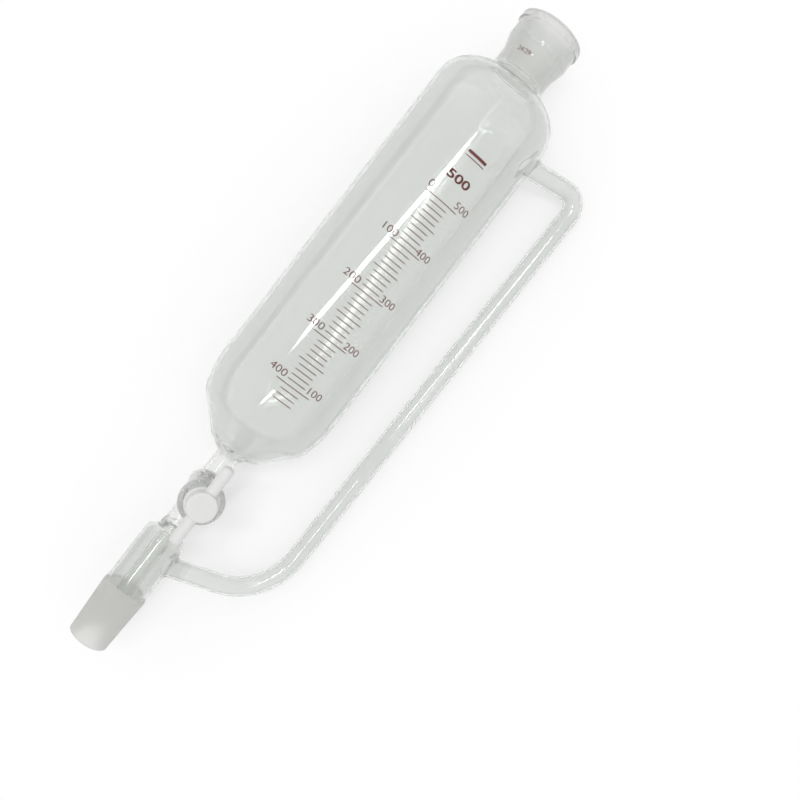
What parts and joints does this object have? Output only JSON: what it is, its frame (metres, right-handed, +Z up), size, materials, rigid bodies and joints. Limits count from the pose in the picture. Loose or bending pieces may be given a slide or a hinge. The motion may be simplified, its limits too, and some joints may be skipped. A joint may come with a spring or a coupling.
{
  "type": "pressure-equalizing addition funnel",
  "caption": "Lying glass dropping funnel: graduated cylinder, top socket, side arm for pressure, tapered stopcock with T handle, drip tube inside a ground cone.",
  "frame": {"origin": "centre of the bounding box's bottom face, on the surface the funnel lies on", "axes": "+X along the funnel's axis from the ground cone to the ground socket, +Z up with the stopcock's handle on top, -Y towards the side arm"},
  "size_m": [0.3846, 0.1024, 0.0674],
  "materials": {
    "glass": "clear blown borosilicate, ground joints frosted, dark red printed scale",
    "plug": "satin white fluoropolymer",
    "seal": "matt",
    "nut": "moulded white"
  },
  "bodies": {
    "glass": {"glass_funnel": "glass"},
    "stopcock": {"stopcock_plug": "plug", "handle_bar": "plug"},
    "washers": {"sealing_washer": "plug", "o_ring": "seal"},
    "nut": {"tension_nut": "nut"}
  },
  "joints": [
    {"name": "stopcock_turn", "type": "hinge", "parent": "glass", "child": "stopcock", "pos_m": [-0.0991, 0.01751, 0.0337], "axis": [0, -0.2994, 0.9541], "continuous": true},
    {"name": "washer_slide", "type": "slide", "parent": "stopcock", "child": "washers", "axis": [0, 0.2994, -0.9541], "range_m": [0, 0.0045]},
    {"name": "nut_turn", "type": "hinge", "parent": "washers", "child": "nut", "pos_m": [-0.0991, 0.01751, 0.0337], "axis": [0, 0.2994, -0.9541], "range_deg": [0, 1080]}
  ],
  "couplings": [
    {"joint": "nut_turn", "follows": "washer_slide", "rad_per_m": 4188.8}
  ]
}
